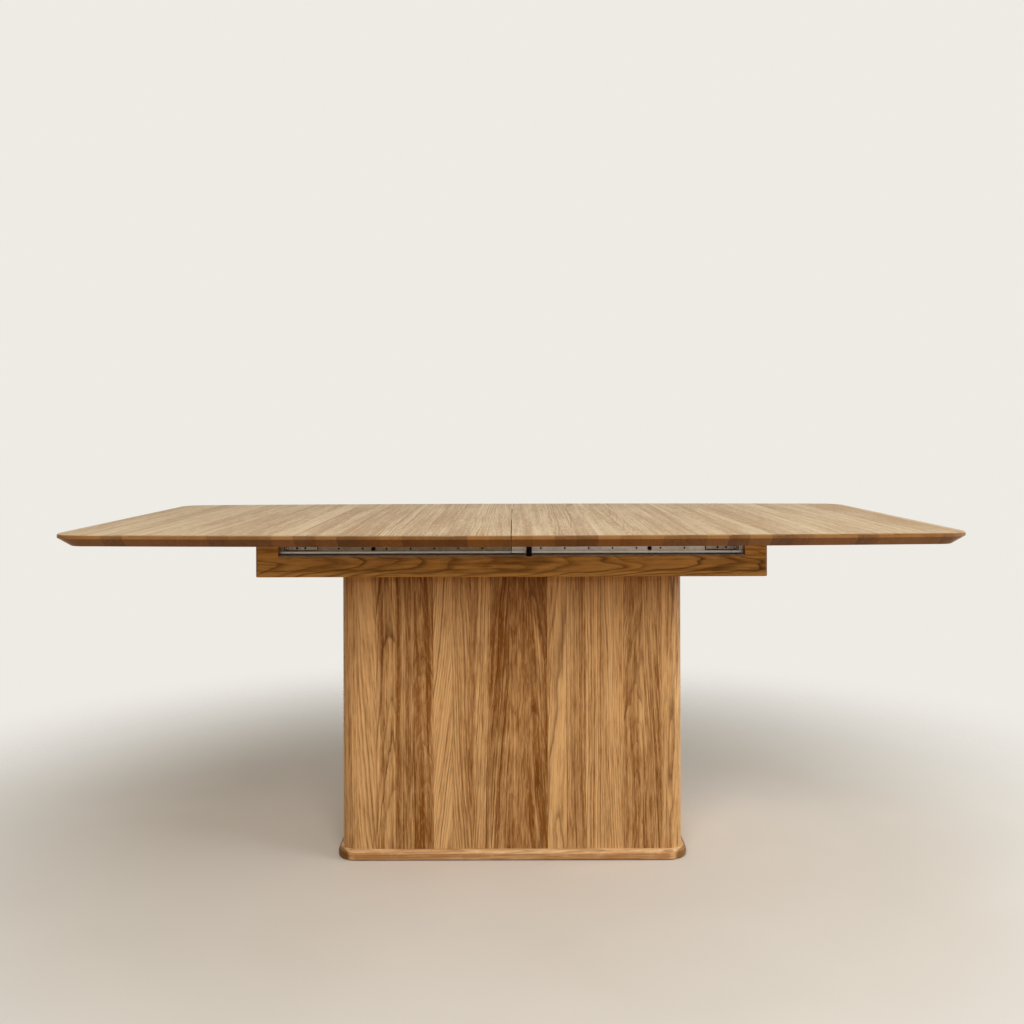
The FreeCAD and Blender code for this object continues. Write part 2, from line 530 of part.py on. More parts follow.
def channel(side):
    """The fixed channel on its bearer, with a lipped leg over each row of balls."""
    name = f"slide_channel_{side}"
    across = SIDES[side]
    body = new_body(name)
    back = f"{across} * Places.channel_back"
    face = f"{across} * (Places.channel_back + Sizes.channel_sheet)"
    race = f"{across} * Places.race_y"
    low, high = (race, "Places.race_low"), (race, "Places.race_high")
    inner, outer = "Places.race_in", "(Places.race_in + Sizes.channel_sheet)"

    def lip(radius, level, way):
        return f"{across} * (Places.race_y + {radius} * sin(30deg))", f"{level} {way} {radius} * cos(30deg)"

    section = [(back, f"Places.race_low + {inner}"), (race, f"Places.race_low + {inner}", low),
               lip(inner, "Places.race_low", "+"), (*lip(outer, "Places.race_low", "+"), low),
               (race, f"Places.race_low + {outer}"), (face, f"Places.race_low + {outer}"),
               (face, f"Places.race_high - {outer}"), (race, f"Places.race_high - {outer}", high),
               lip(outer, "Places.race_high", "-"), (*lip(inner, "Places.race_high", "-"), high),
               (race, f"Places.race_high - {inner}"), (back, f"Places.race_high - {inner}")]
    profile = outline(body, f"{name}_section", "YZ_Plane", section, "-Sizes.channel_length / 2")
    strip = pad(body, f"{name}_strip", profile, "Sizes.channel_length")
    depth = abs(read(back))
    soften(body, f"{name}_bends", strip, "Sizes.bend_round",
           lambda e: e.BoundBox.XLength > 10 and abs(abs(e.CenterOfMass.y) - depth) < 0.01)
    spots = [(x, "Places.slide_mid") for x in channel_screw_places() + travel_stop_places()]
    pocket(body, f"{name}_holes",
           rings(body, f"{name}_hole_rings", "XZ_Plane", "Sizes.screw_dia", spots))
    node(body, name)


def channel_screw_places():
    return [f"{n} * Sizes.channel_screw_pitch" for n in (-2.5, -1.5, -0.5, 0.5, 1.5, 2.5)]


def travel_stop_places():
    return ["-Places.pin_x", "Places.pin_x"]


def bearer(side):
    """The inner bearer, which carries a channel and rests on the pedestal's wall."""
    name = f"bearer_{side}"
    across = SIDES[side]
    body = new_body(name)
    face = outline(body, f"{name}_face", "XZ_Plane",
                   box_corners("-Places.end_in", "Places.end_in", "Places.frame_low",
                               "Places.frame_top - Sizes.bearer_drop"),
                   "Places.channel_back - Sizes.bearer_thick" if side == "front" else "-Places.channel_back")
    pad(body, f"{name}_plank", face, "Sizes.bearer_thick")
    spots = [(x, "Places.slide_mid") for x in channel_screw_places() + travel_stop_places()]
    ring = rings(body, f"{name}_pilot_rings", "XZ_Plane", "Sizes.screw_dia", spots,
                 "Places.channel_back" if side == "front" else "-Places.channel_back")
    pocket(body, f"{name}_pilots", ring, "Sizes.screw_long", side == "back")
    node(body, name)


def cages(half):
    """Scalloped cage strips and their balls, an upper and a lower row in each slide."""
    sign = HALVES[half]
    balls = []
    for side, across in SIDES.items():
        strips = []
        for level in ("race_low", "race_high"):
            name = f"cage_{side}_{half}_{level}"
            body = new_body(name)
            plan = outline(body, f"{name}_plan", "XY_Plane",
                           box_corners(f"{sign} * Sizes.cage_start",
                                       f"{sign} * (Sizes.cage_start + Sizes.cage_length)",
                                       f"{across} * Places.race_y",
                                       f"{across} * (Places.race_y - Sizes.cage_width)"),
                           f"Places.{level} - Sizes.cage_thick / 2")
            pad(body, f"{name}_strip", plan, "Sizes.cage_thick")
            first = f"{sign} * (Sizes.cage_start + Sizes.cage_length / 2 - 1.5 * Sizes.ball_pitch)"
            scallop = rings(body, f"{name}_ring", "XY_Plane", "Sizes.ball_dia + 2 * Sizes.pocket_clear",
                            [(first, f"{across} * Places.race_y")])
            cut = pocket(body, f"{name}_scallop", scallop)
            row(body, f"{name}_scallops", cut, scallop, "Sizes.ball_pitch", "4", half == "left")
            strips.append(body)
            balls += [(f"{first} + {sign} * {n} * Sizes.ball_pitch", f"{across} * Places.race_y",
                       f"Places.{level}", AS_MADE) for n in range(4)]
        pair = doc.addObject("Part::Compound", f"ball_cage_{side}_{half}")
        pair.Links = strips
        node(pair, f"ball_cage_{side}_{half}")
    group(f"slide_balls_{half}", doc.slide_ball, balls)


def long_rail(side):
    """A long rail of the frame, notched along its upper edge for the runners."""
    name = f"rail_{side}"
    across = SIDES[side]
    body = new_body(name)
    end, notch = "Sizes.frame_length / 2", "Sizes.notch_length / 2"
    face = outline(body, f"{name}_face", "XZ_Plane",
                   [(f"-{end}", "Places.frame_low"), (end, "Places.frame_low"), (end, "Places.frame_top"),
                    (notch, "Places.frame_top"), (notch, "Places.ledge"), (f"-{notch}", "Places.ledge"),
                    (f"-{notch}", "Places.frame_top"), (f"-{end}", "Places.frame_top")],
                   "Places.rail_in" if side == "front" else "-Sizes.frame_width / 2")
    plank = pad(body, f"{name}_plank", face, "Sizes.rail_thick")
    outer, limit = read("Sizes.frame_width / 2"), read(end)
    ends = soften(body, f"{name}_ends", plank, "Sizes.rail_round",
                  lambda e: upright(e) and abs(abs(e.CenterOfMass.y) - outer) < 0.01
                  and abs(abs(e.CenterOfMass.x) - limit) < 0.01)
    low, inner, ledge = read("frame_low"), read("rail_in"), read("ledge")
    lower = soften(body, f"{name}_low_arris", ends, "Sizes.rail_low_round",
                   lambda e: at_level(e, low) and abs(e.CenterOfMass.y) > inner + 0.01
                   and not (e.BoundBox.YLength > 1 and e.BoundBox.XLength < 0.01))
    soften(body, f"{name}_ledge_arris", lower, "Sizes.ledge_round",
           lambda e: at_level(e, ledge) and abs(abs(e.CenterOfMass.y) - outer) < 0.01)
    pin = rings(body, f"{name}_pin_ring", "XY_Plane", "Sizes.stop_pin_dia", [stop_centre(across)],
                "Places.ledge")
    pocket(body, f"{name}_pin_hole", pin, "Sizes.stop_pin_long")
    node(body, name)


def stop_centre(across):
    """The middle of a centre stop: right of the seam at the front, left of it at the back."""
    return (f"-{across} * (Sizes.stop_near + Sizes.stop_wide / 2)",
            f"{across} * (Sizes.frame_width / 2 - Sizes.stop_inset - Sizes.stop_deep / 2)")


def centre_stop(side):
    """A moulded block on the ledge, plugged into the rail, which a runner's lug meets when closed."""
    name = f"centre_stop_{side}"
    body = new_body(name)
    x, y = stop_centre(SIDES[side])
    plan = outline(body, f"{name}_plan", "XY_Plane",
                   box_corners(f"{x} - Sizes.stop_wide / 2", f"{x} + Sizes.stop_wide / 2",
                               f"{y} - Sizes.stop_deep / 2", f"{y} + Sizes.stop_deep / 2"), "Places.ledge")
    block = pad(body, f"{name}_block", plan, "Sizes.stop_height")
    soften(body, f"{name}_edges", block, "Sizes.stop_round", upright)
    pin = rings(body, f"{name}_pin_ring", "XY_Plane", "Sizes.stop_pin_dia", [(x, y)],
                "Places.ledge - Sizes.stop_pin_long")
    pad(body, f"{name}_pin", pin, "Sizes.stop_pin_long")
    node(body, name)


def ledge_strip(side):
    """A steel strip on the ledge under the runners, slotted round the centre stop."""
    name = f"ledge_strip_{side}"
    across = SIDES[side]
    x, y = stop_centre(across)
    body = new_body(name)
    end = "(Sizes.notch_length / 2 - Sizes.strip_clear)"
    near = f"{across} * (Places.rail_in + Sizes.strip_clear)"
    far = f"{across} * (Sizes.frame_width / 2 - Sizes.strip_set_back)"
    left, right = (f"{x} {way} (Sizes.stop_wide / 2 + Sizes.strip_clear)" for way in "-+")
    deep = f"{y} - {across} * (Sizes.stop_deep / 2 + Sizes.strip_clear)"
    plan = outline(body, f"{name}_plan", "XY_Plane",
                   [(f"-{end}", near), (end, near), (end, far), (right, far), (right, deep), (left, deep),
                    (left, far), (f"-{end}", far)], "Places.ledge")
    pad(body, f"{name}_flat", plan, "Sizes.strip_thick")
    node(body, name)


def end_rail(half):
    """An end rail between the long rails, open at its upper corners where the runners pass."""
    name = f"end_rail_{half}"
    body = new_body(name)
    wide, slot = "Places.rail_in", "Places.slot_in"
    face = outline(body, f"{name}_face", "YZ_Plane",
                   [(f"-{wide}", "Places.frame_low"), (wide, "Places.frame_low"), (wide, "Places.ledge"),
                    (slot, "Places.ledge"), (slot, "Places.frame_top"), (f"-{slot}", "Places.frame_top"),
                    (f"-{slot}", "Places.ledge"), (f"-{wide}", "Places.ledge")],
                   "Places.end_in" if half == "right" else "-Sizes.frame_length / 2")
    plank = pad(body, f"{name}_plank", face, "Sizes.rail_thick")
    low, limit = read("frame_low"), read("Sizes.frame_length / 2")
    soften(body, f"{name}_low_arris", plank, "Sizes.rail_low_round",
           lambda e: at_level(e, low) and abs(abs(e.CenterOfMass.x) - limit) < 0.01)
    node(body, name)


def cross_rail(half):
    """A cross rail between the bearers, bolted down to the pedestal's head board."""
    name = f"cross_rail_{half}"
    sign = HALVES[half]
    middle = f"{sign} * Places.cross_x"
    body = new_body(name)
    inner = "Places.channel_back - Sizes.bearer_thick"
    plan = outline(body, f"{name}_plan", "XY_Plane",
                   box_corners(f"{middle} - Sizes.cross_width / 2", f"{middle} + Sizes.cross_width / 2",
                               f"-({inner})", inner), "Places.frame_low")
    pad(body, f"{name}_plank", plan, "Sizes.cross_height")
    pocket(body, f"{name}_bolt_holes",
           rings(body, f"{name}_bolt_rings", "XY_Plane", "Sizes.bolt_dia + Sizes.bolt_clear",
                 [(middle, f"{n} * Places.bolt_y") for n in (-1, 1)]))
    node(body, name)


def bolt_spots(level):
    return [(f"{sign} * Places.cross_x", f"{n} * Places.bolt_y", level, AS_MADE)
            for sign in HALVES.values() for n in (-1, 1)]


def frame():
    """Rails, ledge strips, bearers, spacers, cross rails and corner blocks."""
    for side, across in SIDES.items():
        long_rail(side)
        bearer(side)
        low, high = "Places.channel_back", "Places.rail_in"
        depth = (f"-{high}", f"-{low}") if side == "front" else (low, high)
        node(board(f"spacer_{side}", ("-Places.end_in", "Places.end_in"), depth,
                   ("Places.frame_low", "Places.frame_low + Sizes.spacer_height")), f"spacer_{side}")
        centre_stop(side)
        ledge_strip(side)
        channel(side)
    for half in HALVES:
        end_rail(half)
        cross_rail(half)
    body = new_body("corner_block")
    plan = outline(body, "corner_block_plan", "XY_Plane",
                   [("0", "0"), ("Sizes.block_leg", "0"), ("0", "Sizes.block_leg")])
    pad(body, "corner_block_wedge", plan, "Sizes.block_height")
    inner = "(Places.channel_back - Sizes.bearer_thick)"
    group("corner_blocks", body,
          [(f"{sx} * Places.end_in", f"{sy} * {inner}", "Places.frame_low", FreeCAD.Rotation(Z_AXIS, turn))
           for sx, sy, turn in (("-1", "-1", 0), ("1", "-1", 90), ("1", "1", 180), ("-1", "1", 270))])


def post(half, side):
    """A grooved corner post of the pedestal, rounded outside."""
    name = f"post_{side}_{half}"
    sx, sy = HALVES[half], SIDES[side]
    body = new_body(name)
    deep = "Sizes.tongue_deep + Sizes.glue_gap"
    wide = "Sizes.tongue_thick / 2 + Sizes.glue_gap"
    mid_x = "Sizes.pedestal_length / 2 - Sizes.panel_thick / 2"
    mid_y = "Sizes.pedestal_width / 2 - Sizes.panel_thick / 2"
    corners = [("Places.post_x", "Places.post_y"), ("Places.post_x", f"{mid_y} - ({wide})"),
               (f"Places.post_x + {deep}", f"{mid_y} - ({wide})"),
               (f"Places.post_x + {deep}", f"{mid_y} + {wide}"), ("Places.post_x", f"{mid_y} + {wide}"),
               ("Places.post_x", "Sizes.pedestal_width / 2"),
               ("Sizes.pedestal_length / 2", "Sizes.pedestal_width / 2"),
               ("Sizes.pedestal_length / 2", "Places.post_y"), (f"{mid_x} + {wide}", "Places.post_y"),
               (f"{mid_x} + {wide}", f"Places.post_y + {deep}"),
               (f"{mid_x} - ({wide})", f"Places.post_y + {deep}"), (f"{mid_x} - ({wide})", "Places.post_y")]
    plan = outline(body, f"{name}_plan", "XY_Plane",
                   [(f"{sx} * ({x})", f"{sy} * ({y})") for x, y in corners], "Places.plinth_top")
    stick = pad(body, f"{name}_stick", plan, "Places.frame_low - Places.plinth_top")
    far_x, far_y = read("Sizes.pedestal_length / 2"), read("Sizes.pedestal_width / 2")
    soften(body, f"{name}_round", stick, "Sizes.post_round",
           lambda e: upright(e) and abs(abs(e.CenterOfMass.x) - far_x) < 0.01
           and abs(abs(e.CenterOfMass.y) - far_y) < 0.01)
    node(body, name)


def panel(name, reach, outer, place):
    """A wall panel with a tongue on each upright edge. place turns (along, out) into plan corners."""
    body = new_body(name)
    inner = f"{outer} - Sizes.panel_thick"
    low = f"{outer} - Sizes.panel_thick / 2 - Sizes.tongue_thick / 2"
    high = f"{outer} - Sizes.panel_thick / 2 + Sizes.tongue_thick / 2"
    half = [(reach, inner), (reach, low), (f"{reach} + Sizes.tongue_deep", low),
            (f"{reach} + Sizes.tongue_deep", high), (reach, high), (reach, outer)]
    loop = half + [(f"-({along})", out) for along, out in reversed(half)]
    plan = outline(body, f"{name}_plan", "XY_Plane", [place(*c) for c in loop], "Places.plinth_top")
    pad(body, f"{name}_boards", plan, "Places.frame_low - Places.plinth_top")
    node(body, name)


def inner_board(name, low, thick, hole_dia, spots, depth):
    """A board inside the pedestal, nipped at its corners round the posts."""
    body = new_body(name)
    x, y, nip = "Places.board_x", "Places.board_y", "Places.board_nip"
    quarter = [(x, f"{y} - {nip}"), (f"{x} - {nip}", y)]
    loop = quarter + [(f"-({a})", b) for a, b in reversed(quarter)]
    loop += [(f"-({a})", f"-({b})") for a, b in quarter] + [(a, f"-({b})") for a, b in reversed(quarter)]
    plan = outline(body, f"{name}_plan", "XY_Plane", loop, low)
    pad(body, f"{name}_sheet", plan, thick)
    ring = rings(body, f"{name}_rings", "XY_Plane", hole_dia, spots, f"{low} + {thick}")
    pocket(body, f"{name}_holes", ring, depth)
    node(body, name)


def plinth_screw_spots():
    return [(f"{a} * Places.plinth_screw_x", f"{b} * Places.plinth_screw_y")
            for a in (-2, -1, 1, 2) for b in (-1, 1)]


def glide_spots():
    return [(f"{a} * Places.glide_x", f"{b} * Places.glide_y") for a in (-1, 0, 1) for b in (-1, 1)]


def plinth():
    """The bull-nosed plinth with countersunk screw holes and holes for the glides' pins."""
    body = new_body("plinth")
    x = "(Sizes.pedestal_length / 2 + Sizes.plinth_over)"
    y = "(Sizes.pedestal_width / 2 + Sizes.plinth_over)"
    plan = outline(body, "plinth_plan", "XY_Plane", box_corners(f"-{x}", x, f"-{y}", y), "Sizes.glide_stand")
    slab = pad(body, "plinth_slab", plan, "Sizes.plinth_thick")
    corners = soften(body, "plinth_corners", slab, "Sizes.plinth_corner", upright)
    high, low = read("plinth_top"), read("Sizes.glide_stand")
    nose = soften(body, "plinth_top_round", corners, "Sizes.plinth_top_round", lambda e: at_level(e, high))
    soften(body, "plinth_low_round", nose, "Sizes.plinth_low_round", lambda e: at_level(e, low))
    ring = rings(body, "plinth_screw_rings", "XY_Plane", "Sizes.plinth_screw_dia", plinth_screw_spots(),
                 "Sizes.glide_stand")
    hole = body.newObject("PartDesign::Hole", "plinth_screw_holes")
    hole.Profile = ring
    hole.ThreadType = "None"
    hole.setExpression("Diameter", "Sizes.plinth_screw_dia + Sizes.screw_clear")
    hole.DepthType = "ThroughAll"
    hole.Reversed = True
    hole.HoleCutType = "Countersink"
    hole.HoleCutCustomValues = True
    hole.setExpression("HoleCutDiameter", "Sizes.plinth_screw_head + Sizes.screw_clear")
    hole.HoleCutCountersinkAngle = 90
    doc.recompute()
    pins = rings(body, "plinth_pin_rings", "XY_Plane", "Sizes.glide_pin_dia", glide_spots(),
                 "Sizes.glide_stand")
    pocket(body, "plinth_pin_holes", pins, "Sizes.glide_pin_long", True)
    node(body, "plinth")


def pedestal():
    """Plinth, posts, panels, inner boards and what fastens them."""
    plinth()
    disc = "Sizes.glide_dia / 2"
    glide = turned("glide", [("0", "0"), (f"{disc} - Sizes.glide_arris", "0"), (disc, "Sizes.glide_arris"),
                             (disc, "Sizes.glide_stand"), ("Sizes.glide_pin_dia / 2", "Sizes.glide_stand"),
                             ("Sizes.glide_pin_dia / 2", "Sizes.glide_stand + Sizes.glide_pin_long"),
                             ("0", "Sizes.glide_stand + Sizes.glide_pin_long")])
    group("floor_glides", glide, [(x, y, "0", AS_MADE) for x, y in glide_spots()])
    for side in SIDES:
        for half in HALVES:
            post(half, side)
    for side, sy in SIDES.items():
        panel(f"panel_{side}", "Places.post_x", "Sizes.pedestal_width / 2",
              lambda along, out, sy=sy: (along, f"{sy} * ({out})"))
    for half, sx in HALVES.items():
        panel(f"panel_{half}", "Places.post_y", "Sizes.pedestal_length / 2",
              lambda along, out, sx=sx: (f"{sx} * ({out})", along))
    inner_board("floor_board", "Places.plinth_top", "Sizes.floor_thick", "Sizes.plinth_screw_dia",
                plinth_screw_spots(), "Sizes.floor_thick")
    inner_board("head_board", "Places.frame_low - Sizes.head_thick", "Sizes.head_thick", "Sizes.insert_dia",
                [spot[:2] for spot in bolt_spots("0")], "Sizes.insert_long")
    head, shank = "Sizes.plinth_screw_head / 2", "Sizes.plinth_screw_dia / 2"
    screw = turned("plinth_screw", [("0", "0"), (head, "0"), (shank, f"{head} - {shank}"),
                                    (shank, "Sizes.plinth_screw_long - Sizes.plinth_screw_tip"),
                                    ("0", "Sizes.plinth_screw_long")])
    group("plinth_screws", screw,
          [(x, y, "Sizes.glide_stand + Sizes.screw_sunk", AS_MADE) for x, y in plinth_screw_spots()])
    bolt, bore = "Sizes.bolt_head_dia / 2", "Sizes.bolt_dia / 2"
    key, crown, arris = "Sizes.key_dia / 2", "Sizes.bolt_head_high", "Sizes.bolt_head_arris"
    cap = turned("frame_bolt", [("0", "-Sizes.bolt_long"), (bore, "-Sizes.bolt_long"), (bore, "0"), (bolt, "0"),
                                (bolt, f"{crown} - {arris}"), (f"{bolt} - {arris}", crown), (key, crown),
                                (key, f"{crown} - Sizes.key_deep"), ("0", f"{crown} - Sizes.key_deep")])
    group("frame_bolts", cap, bolt_spots("Places.bolt_seat"))
    rim, eye = "Sizes.washer_dia / 2", "Sizes.bolt_dia / 2 + Sizes.washer_clear / 2"
    ring = turned("washer", box_corners(eye, rim, "-Sizes.washer_thick", "0"))
    group("bolt_washers", ring, bolt_spots("Places.bolt_seat"))
    sleeve = turned("insert", box_corners("Sizes.bolt_dia / 2", "Sizes.insert_dia / 2",
                                          "-Sizes.insert_long", "0"))
    group("threaded_inserts", sleeve, bolt_spots("Places.frame_low"))


def screw_masters():
    """The screws, stops, plate and ball that the groups repeat, each made once at the origin."""
    head, shank = "Sizes.screw_head_dia / 2", "Sizes.screw_dia / 2"
    tip = [(shank, "Sizes.screw_long - Sizes.screw_tip"), ("0", "Sizes.screw_long")]
    crown = "-Sizes.screw_head_high"
    turned("pan_screw", [("0", crown), (f"{head} - Sizes.screw_dome", crown), (head, "-Sizes.screw_head_edge"),
                         (head, "0"), (shank, "0")] + tip)
    turned("bar_screw", [("0", "Sizes.screw_sunk"), ("Sizes.screw_dia", "Sizes.screw_sunk"),
                         (shank, f"{shank} + Sizes.screw_sunk")] + tip)
    stop, crown = "Sizes.travel_stop_dia / 2", "-Sizes.travel_stop_high"
    turned("travel_stop", [("0", crown), (f"{stop} - Sizes.travel_stop_arris", crown),
                           (stop, f"{crown} + Sizes.travel_stop_arris"), (stop, "0"), (shank, "0")] + tip)
    for half in HALVES:
        plate_master(half)
    ball = doc.addObject("Part::Sphere", "slide_ball")
    ball.setExpression("Radius", "Sizes.ball_dia / 2")
    doc.recompute()


def slides():
    """Runners, cages and balls of both halves, and the screws and stops of the fixed channels."""
    face = "(Places.channel_back + Sizes.channel_sheet)"
    group("channel_screws", doc.pan_screw,
          [(x, f"{across} * {face}", "Places.slide_mid", turn) for x in channel_screw_places()
           for across, turn in (("-1", HEAD_TO_FRONT), ("1", HEAD_TO_BACK))])
    group("travel_stops", doc.travel_stop,
          [(x, f"{across} * {face}", "Places.slide_mid", turn) for x in travel_stop_places()
           for across, turn in (("-1", HEAD_TO_FRONT), ("1", HEAD_TO_BACK))])
    for half, sign in HALVES.items():
        for side in SIDES:
            runner(half, side)
        catch_plates(half)
        cages(half)
        group(f"runner_screws_{half}", doc.pan_screw,
              [(x, y, "Places.under_top - Sizes.sheet_thick", AS_MADE) for x, y in screw_spots(sign)])


def write_out():
    """Look over every object, then write each node to its own file."""
    doc.recompute()
    for piece in doc.Objects:
        if "Invalid" in piece.State or "Error" in piece.State:
            raise RuntimeError(f"{piece.Label} did not build")
    os.makedirs("parts", exist_ok=True)
    for piece in nodes:
        if piece.Shape.isNull() or not piece.Shape.isValid() or not piece.Shape.Solids:
            raise RuntimeError(f"{piece.Label} has no sound shape")
        piece.Shape.exportStep(f"parts/{piece.Label}.step")


screw_masters()
pedestal()
frame()
slides()
for half_name in HALVES:
    half_top(half_name)
    stiffening_bars(half_name)
seam_dowels()
write_out()
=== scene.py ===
import bmesh
import bpy
import math
from mathutils import Matrix, Vector


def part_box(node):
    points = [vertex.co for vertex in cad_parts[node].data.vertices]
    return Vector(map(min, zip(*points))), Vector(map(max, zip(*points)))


# Extending dining table of solid oak: finishes, light and camera. Metres, Z up, front at -Y.

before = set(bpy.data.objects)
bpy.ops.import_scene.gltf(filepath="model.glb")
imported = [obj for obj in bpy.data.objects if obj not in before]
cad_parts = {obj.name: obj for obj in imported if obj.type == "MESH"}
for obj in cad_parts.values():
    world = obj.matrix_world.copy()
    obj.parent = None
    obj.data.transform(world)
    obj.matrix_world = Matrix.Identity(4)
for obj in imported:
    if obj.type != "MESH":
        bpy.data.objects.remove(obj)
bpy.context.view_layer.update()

MM = 0.001
STAVE = 41.8 * MM


def tint(red, green, blue, alpha=1.0):
    """A colour as it is seen on a screen, 0 to 255, as the shaders take it."""
    def straight(level):
        level /= 255
        return level / 12.92 if level <= 0.04045 else ((level + 0.055) / 1.055) ** 2.4
    return straight(red), straight(green), straight(blue), alpha


class Field:
    """A number that changes over a surface, so that a chain of nodes reads as a formula."""

    def __init__(self, socket):
        self.socket = socket
        self.tree = socket.id_data

    def math(self, operation, *others):
        node = self.tree.nodes.new("ShaderNodeMath")
        node.operation = operation
        for slot, term in zip(node.inputs, (self, *others)):
            feed(slot, term)
        return Field(node.outputs[0])

    def __add__(self, other):
        return self.math("ADD", other)

    def __sub__(self, other):
        return self.math("SUBTRACT", other)

    def __mul__(self, other):
        return self.math("MULTIPLY", other)

    def __truediv__(self, other):
        return self.math("DIVIDE", other)

    def floor(self):
        return self.math("FLOOR")

    def part(self):
        return self.math("FRACT")

    def size(self):
        return self.math("ABSOLUTE")

    def flip(self):
        """One less this."""
        return (self * -1.0) + 1.0

    def swing(self):
        """A level of 0 to 1 as -1 to 1."""
        return self * 2.0 - 1.0

    def ramp(self, low, high, start=0.0, end=1.0):
        """A smooth step from start to end as this goes from low to high."""
        node = self.tree.nodes.new("ShaderNodeMapRange")
        node.interpolation_type = "SMOOTHSTEP"
        for slot, term in zip(node.inputs, (self, low, high, start, end)):
            feed(slot, term)
        return Field(node.outputs["Result"])


def feed(socket, term):
    """Link a field or a socket to a socket, or set its plain value."""
    if isinstance(term, Field):
        term = term.socket
    if isinstance(term, bpy.types.NodeSocket):
        socket.id_data.links.new(term, socket)
    else:
        socket.default_value = term


def point(*terms):
    """Three numbers as a place in a pattern."""
    tree = [term for term in terms if isinstance(term, Field)][0].tree
    node = tree.nodes.new("ShaderNodeCombineXYZ")
    for slot, term in zip(node.inputs, terms):
        feed(slot, term)
    return node.outputs[0]


def noise(place, detail=2.0, roughness=0.5):
    node = place.id_data.nodes.new("ShaderNodeTexNoise")
    feed(node.inputs["Vector"], place)
    node.inputs["Scale"].default_value = 1.0
    node.inputs["Detail"].default_value = detail
    node.inputs["Roughness"].default_value = roughness
    return Field(node.outputs["Fac"])


def chances(place):
    """Three plain chances, 0 to 1, that belong to a whole piece of wood."""
    tree = place.id_data
    node = tree.nodes.new("ShaderNodeTexWhiteNoise")
    feed(node.inputs["Vector"], place)
    split = tree.nodes.new("ShaderNodeSeparateColor")
    feed(split.inputs[0], node.outputs["Color"])
    return [Field(socket) for socket in split.outputs]


def mixed(factor, first, second, blend="MIX"):
    """Two colours mixed by a field."""
    tree = factor.tree
    node = tree.nodes.new("ShaderNodeMix")
    node.data_type = "RGBA"
    node.blend_type = blend
    feed(node.inputs[0], factor)
    feed(node.inputs[6], first)
    feed(node.inputs[7], second)
    return node.outputs[2]


def bands(field, *stops):
    """A run of levels along a field, as (place, level)."""
    node = field.tree.nodes.new("ShaderNodeValToRGB")
    feed(node.inputs[0], field)
    steps = node.color_ramp.elements
    while len(steps) < len(stops):
        steps.new(0.5)
    for step, (where, level) in zip(steps, stops):
        step.position = where
        step.color = (level, level, level, 1.0)
    return Field(node.outputs["Color"])


def new_group(name, inputs, outputs):
    """A shader group with named sockets, its inputs as a dict and a function that sets its outputs."""
    tree = bpy.data.node_groups.new(name, "ShaderNodeTree")
    kinds = {float: "NodeSocketFloat", tuple: "NodeSocketColor"}
    for label, value in inputs.items():
        socket = tree.interface.new_socket(name=label, in_out="INPUT", socket_type=kinds[type(value)])
        socket.default_value = value
    for label, kind in outputs.items():
        tree.interface.new_socket(name=label, in_out="OUTPUT", socket_type=kinds[kind])
    source = tree.nodes.new("NodeGroupInput")
    sink = tree.nodes.new("NodeGroupOutput")
    given = {label: Field(source.outputs[label]) for label in inputs}

    def give(**results):
        for label, result in results.items():
            feed(sink.inputs[label.replace("_", " ")], result)
    return tree, given, give


